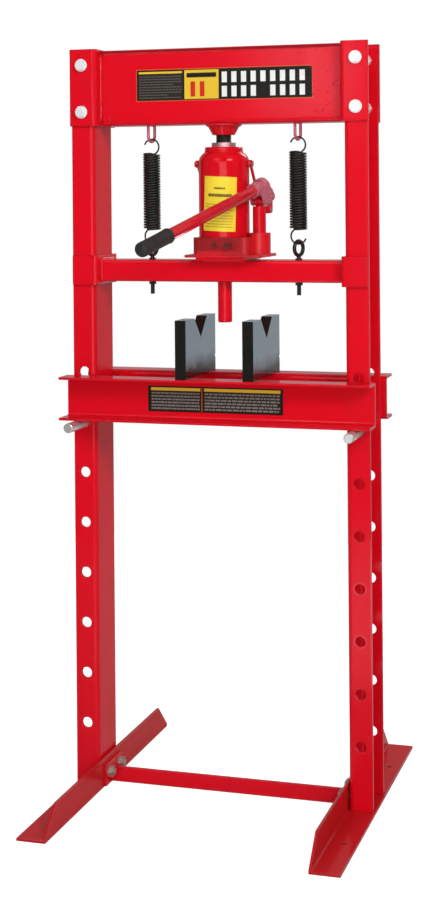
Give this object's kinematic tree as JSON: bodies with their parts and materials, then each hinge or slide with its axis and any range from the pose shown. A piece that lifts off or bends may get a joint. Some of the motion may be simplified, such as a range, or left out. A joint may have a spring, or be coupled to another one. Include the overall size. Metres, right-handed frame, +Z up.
{
  "type": "hydraulic shop press",
  "caption": "H-frame shop press with a bottle jack on a sprung press bar, a height-adjustable bed on pins, and two V blocks",
  "frame": {"origin": "on the floor, at the centre of the four floor-bolt holes in the feet", "axes": "+X to the machine's right as the operator faces it, +Y to the rear, +Z up along the press stroke"},
  "size_m": [0.626, 0.7187, 1.4715],
  "materials": {
    "red_enamel": "glossy red enamel with orange peel",
    "zinc_steel": "zinc plated, satin",
    "ram_steel": "ground and bright",
    "black_steel": "black oxide, slightly oily",
    "block_iron": "dark machined steel plate",
    "grip_rubber": "matt black rubber",
    "cast_base": "dark red enamel on a casting"
  },
  "bodies": {
    "frame": {"upright_left": "red_enamel", "upright_right": "red_enamel", "foot_left": "red_enamel", "foot_right": "red_enamel", "tie_bar": "red_enamel", "foot_bolts": "zinc_steel", "foot_nuts": "zinc_steel", "head_channel": "red_enamel", "head_sleeve_left": "red_enamel", "head_sleeve_right": "red_enamel", "head_bolts": "zinc_steel", "head_nuts": "zinc_steel", "jack_socket": "red_enamel", "spring_loops": "red_enamel", "spring_left": "black_steel", "spring_right": "black_steel"},
    "press_bar": {"press_bar": "red_enamel", "guide_sleeve_left": "red_enamel", "guide_sleeve_right": "red_enamel", "jack_seat": "red_enamel", "press_ram": "red_enamel", "eyebolts": "black_steel", "eyebolt_nuts": "black_steel", "jack_base": "cast_base", "jack_plug": "zinc_steel", "jack_tank": "red_enamel", "jack_cylinder": "ram_steel", "jack_cap": "red_enamel", "bail_studs": "zinc_steel", "pump_body": "red_enamel", "fulcrum_links": "red_enamel", "link_pin": "zinc_steel"},
    "jack_ram": {"jack_ram": "ram_steel"},
    "screw": {"extension_screw": "black_steel"},
    "valve": {"release_valve": "zinc_steel"},
    "bail": {"carry_bail": "red_enamel"},
    "plunger": {"pump_plunger": "ram_steel"},
    "lever": {"lever_socket": "red_enamel", "fulcrum_pin": "zinc_steel", "plunger_pin": "zinc_steel", "handle_tube": "red_enamel", "handle_grip": "grip_rubber"},
    "bed": {"bed_channel_front": "red_enamel", "bed_channel_rear": "red_enamel", "bed_spacers": "red_enamel", "v_block_left": "block_iron", "v_block_right": "block_iron"},
    "pin_left": {"pin_left": "zinc_steel"},
    "pin_right": {"pin_right": "zinc_steel"}
  },
  "joints": [
    {"name": "press_slide", "type": "slide", "parent": "frame", "child": "press_bar", "axis": [0, 0, -1], "range_m": [0, 0.07], "stiffness_N_per_m": 3000, "springref_m": -0.075, "deforming": ["spring_left", "spring_right"]},
    {"name": "ram_slide", "type": "slide", "parent": "press_bar", "child": "jack_ram", "axis": [0, 0, 1], "range_m": [0, 0.07]},
    {"name": "screw_slide", "type": "slide", "parent": "jack_ram", "child": "screw", "axis": [0, 0, 1], "range_m": [-0.015, 0]},
    {"name": "valve_turn", "type": "hinge", "parent": "press_bar", "child": "valve", "pos_m": [0.024, -0.045, 1.0815], "axis": [0, -1, 0], "range_deg": [0, 360]},
    {"name": "bail_swing", "type": "hinge", "parent": "press_bar", "child": "bail", "pos_m": [0, 0, 1.2405], "axis": [1, 0, 0], "range_deg": [0, 100]},
    {"name": "lever_swing", "type": "hinge", "parent": "press_bar", "child": "lever", "pos_m": [0.07849, 0.02263, 1.17622], "axis": [-0.9613, 0.2756, 0], "range_deg": [0, 53.4]},
    {"name": "plunger_slide", "type": "slide", "parent": "press_bar", "child": "plunger", "axis": [0, 0, 1], "range_m": [0, 0.0226]},
    {"name": "bed_lift", "type": "slide", "parent": "frame", "child": "bed", "axis": [0, 0, -1], "range_m": [-0.065, 0]},
    {"name": "pin_left_slide", "type": "slide", "parent": "frame", "child": "pin_left", "axis": [0, -1, 0], "range_m": [0, 0.15]},
    {"name": "pin_right_slide", "type": "slide", "parent": "frame", "child": "pin_right", "axis": [0, -1, 0], "range_m": [0, 0.15]}
  ],
  "couplings": [
    {"joint": "ram_slide", "follows": "press_slide", "ratio": 1},
    {"joint": "plunger_slide", "follows": "lever_swing", "m_per_rad": 0.024099}
  ]
}
